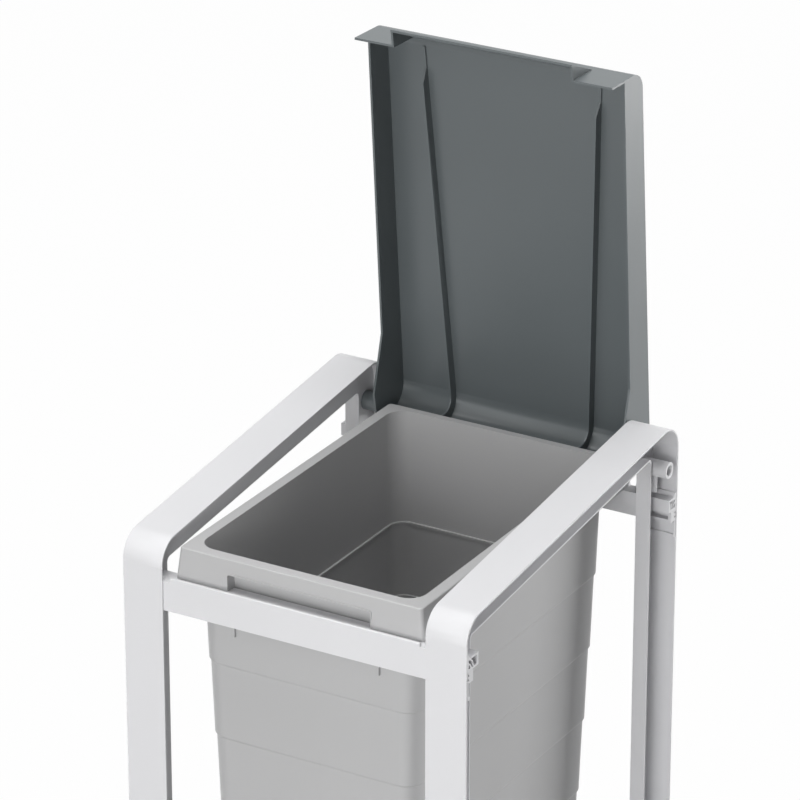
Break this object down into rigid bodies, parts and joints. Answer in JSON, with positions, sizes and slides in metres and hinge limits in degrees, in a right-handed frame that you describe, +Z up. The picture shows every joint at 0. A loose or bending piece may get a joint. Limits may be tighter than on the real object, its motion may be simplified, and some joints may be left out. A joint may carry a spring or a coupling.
{
  "type": "pull out bin frame",
  "caption": "Free-standing plastic leg frame holding a tall tapered waste bin by its rim, with a hinged ribbed lid standing open.",
  "frame": {"origin": "on the floor, centred between the side frames and between the frame's front face and the rear of the open lid", "axes": "+Z up, +X to the right of someone facing the bin's grip, +Y from the front towards the hinge"},
  "size_m": [0.4252, 0.5069, 1.1254],
  "materials": {
    "frame_plastic": "fine satin moulded plastic",
    "clip_plastic": "satin moulded plastic",
    "bin_plastic": "satin moulded plastic",
    "lid_plastic": "semi-gloss moulded plastic",
    "pin_plastic": "satin moulded plastic",
    "foot_rubber": "matt rubber"
  },
  "bodies": {
    "frame": {"side_frame_left": "frame_plastic", "side_frame_right": "frame_plastic", "crossbar_front_upper": "frame_plastic", "crossbar_front_lower": "frame_plastic", "crossbar_rear_upper": "frame_plastic", "crossbar_rear_lower": "frame_plastic", "clip_front_upper_left": "clip_plastic", "clip_front_upper_right": "clip_plastic", "clip_front_lower_left": "clip_plastic", "clip_front_lower_right": "clip_plastic", "clip_rear_upper_left": "clip_plastic", "clip_rear_upper_right": "clip_plastic", "clip_rear_lower_left": "clip_plastic", "clip_rear_lower_right": "clip_plastic", "hinge_pin_left": "pin_plastic", "hinge_pin_right": "pin_plastic", "foot_front_left": "foot_rubber", "foot_front_right": "foot_rubber", "foot_rear_left": "foot_rubber", "foot_rear_right": "foot_rubber"},
    "lid": {"lid": "lid_plastic"},
    "bin": {"bin": "bin_plastic"}
  },
  "joints": [
    {"name": "lid_hinge", "type": "hinge", "parent": "frame", "child": "lid", "pos_m": [0, 0.20143, 0.65], "axis": [1, 0, 0], "range_deg": [0, 91.5]},
    {"name": "bin_lift_out", "type": "hinge", "parent": "frame", "child": "bin", "pos_m": [0, -2.78807, 0.4625], "axis": [1, 0, 0], "range_deg": [0, 13.7]}
  ]
}
